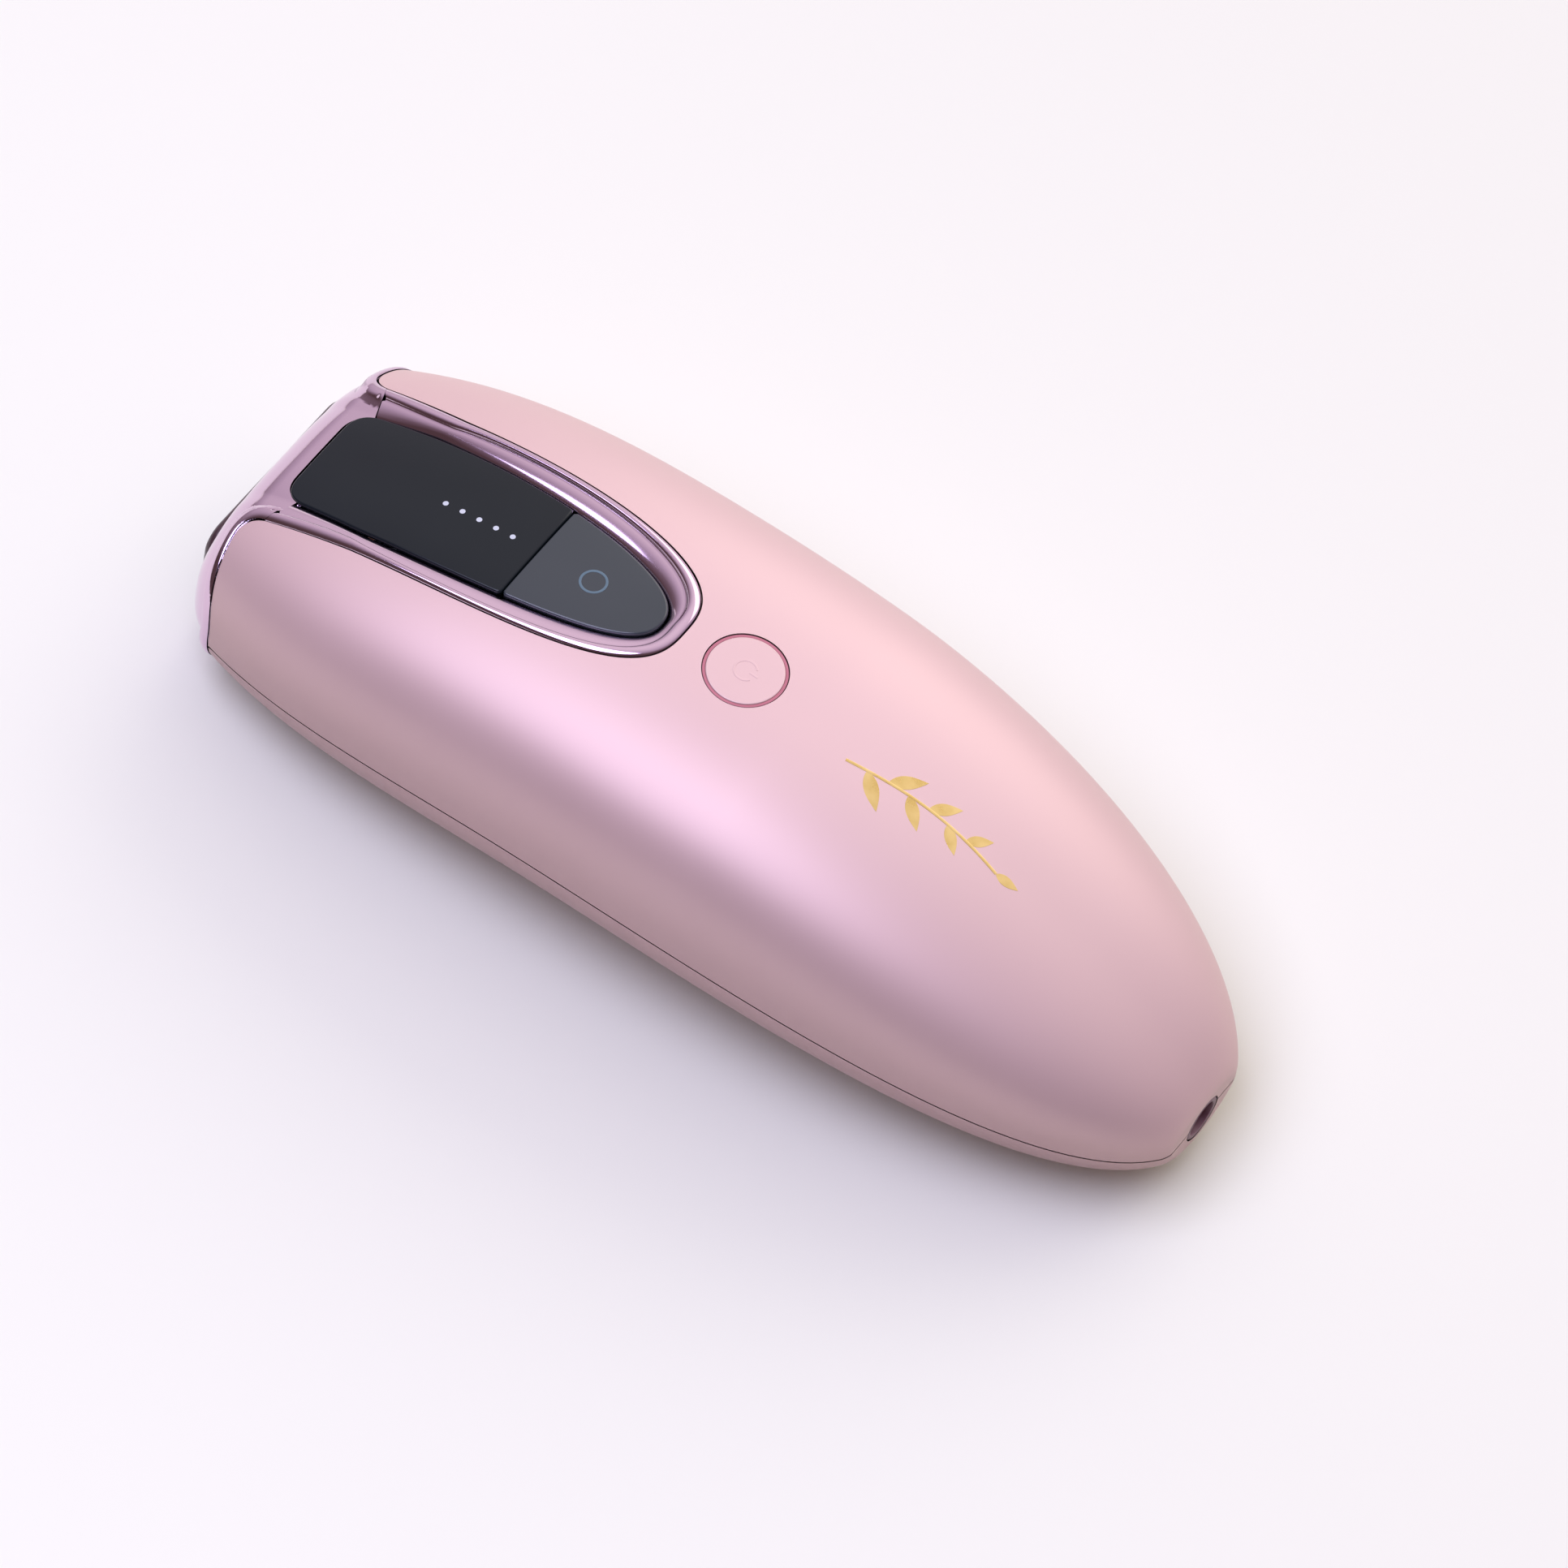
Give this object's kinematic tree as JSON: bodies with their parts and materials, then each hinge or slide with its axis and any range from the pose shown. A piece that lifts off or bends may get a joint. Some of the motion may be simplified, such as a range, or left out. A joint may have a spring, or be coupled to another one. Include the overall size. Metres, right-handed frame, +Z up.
{
  "type": "ipl hair remover handset",
  "caption": "Mango-shaped hand-held flash hair remover with a plated nose round a treatment window, a black display panel, a flash key, a power button and a tail power inlet.",
  "frame": {"origin": "centre of the handset's footprint, on the flat of the belly", "axes": "+X along the length towards the tail and its power inlet, so the treatment window faces -X; +Z up through the crown; +Y completes the right-handed frame across the width"},
  "size_m": [0.172, 0.0672, 0.0465],
  "materials": {
    "pink_shell": "pearlescent satin lacquer over moulded plastic",
    "rose_chrome": "rose vacuum-metallised plastic",
    "black_glass": "black gloss tinted acrylic",
    "pink_ring": "translucent tinted light ring",
    "dark_plastic": "fine moulded texture",
    "white_plastic": "moulded",
    "clear_plastic": "clear moulded acrylic",
    "sapphire": "polished sapphire",
    "filter_glass": "orange long-pass filter glass",
    "quartz": "clear quartz",
    "gasket_rubber": "black silicone",
    "foam": "foam",
    "copper": "bare copper",
    "aluminium": "anodised",
    "mirror_metal": "polished reflector",
    "steel": "plated",
    "brass": "turned",
    "ceramic": "ceramic",
    "board_green": "solder-masked laminate",
    "can_black": "sleeved can",
    "insulation": "silicone lead insulation",
    "tape_yellow": "polyester tape",
    "ferrite": "ferrite"
  },
  "bodies": {
    "handset": {"air_duct": "dark_plastic", "board_posts": "dark_plastic", "board_screws": "steel", "buzzer": "dark_plastic", "capacitor_cradle": "white_plastic", "case_screws": "steel", "cold_plate": "copper", "dc_jack": "dark_plastic", "dc_jack_pin": "brass", "display_spacer": "foam", "display_window": "black_glass", "fan_bearing": "brass", "fan_coil": "copper", "fan_housing": "dark_plastic", "fan_screws": "steel", "filter_glass": "filter_glass", "flash_switch": "dark_plastic", "heat_sink": "aluminium", "inlet_mesh": "steel", "jack_collar": "dark_plastic", "key_board": "board_green", "lamp_electrodes": "steel", "lamp_holder": "white_plastic", "lamp_leads": "insulation", "lamp_reflector": "mirror_metal", "lamp_tube": "quartz", "left_capacitor": "can_black", "level_leds": "white_plastic", "light_guide": "clear_plastic", "lower_shell": "pink_shell", "main_board": "board_green", "nose_bezel": "rose_chrome", "outlet_mesh": "steel", "panel_trim": "rose_chrome", "power_button_ring": "pink_ring", "power_switch": "dark_plastic", "power_transistor": "dark_plastic", "ribbon_cable": "white_plastic", "right_capacitor": "can_black", "sapphire_window": "sapphire", "skin_sensors": "steel", "thermoelectric_cooler": "ceramic", "transformer_core": "ferrite", "transformer_winding": "tape_yellow", "transistor_heat_sink": "aluminium", "trigger_coil": "tape_yellow", "upper_shell": "pink_shell", "window_frame": "dark_plastic", "window_gasket": "gasket_rubber"},
    "power_button": {"power_button": "pink_shell", "power_switch_plunger": "white_plastic"},
    "flash_key": {"flash_key": "black_glass", "flash_switch_plunger": "white_plastic"},
    "fan_rotor": {"fan_rotor": "dark_plastic", "fan_shaft": "steel"}
  },
  "joints": [
    {"name": "power_button_press", "type": "slide", "parent": "handset", "child": "power_button", "axis": [0, 0, -1], "range_m": [0, 0.0005], "stiffness_N_per_m": 900, "springref_m": -0.0004},
    {"name": "flash_key_press", "type": "slide", "parent": "handset", "child": "flash_key", "axis": [0, 0, -1], "range_m": [0, 0.0005], "stiffness_N_per_m": 900, "springref_m": -0.0004},
    {"name": "fan_spin", "type": "hinge", "parent": "handset", "child": "fan_rotor", "pos_m": [-0.034, 0, 0.018], "axis": [1, 0, 0], "continuous": true}
  ]
}
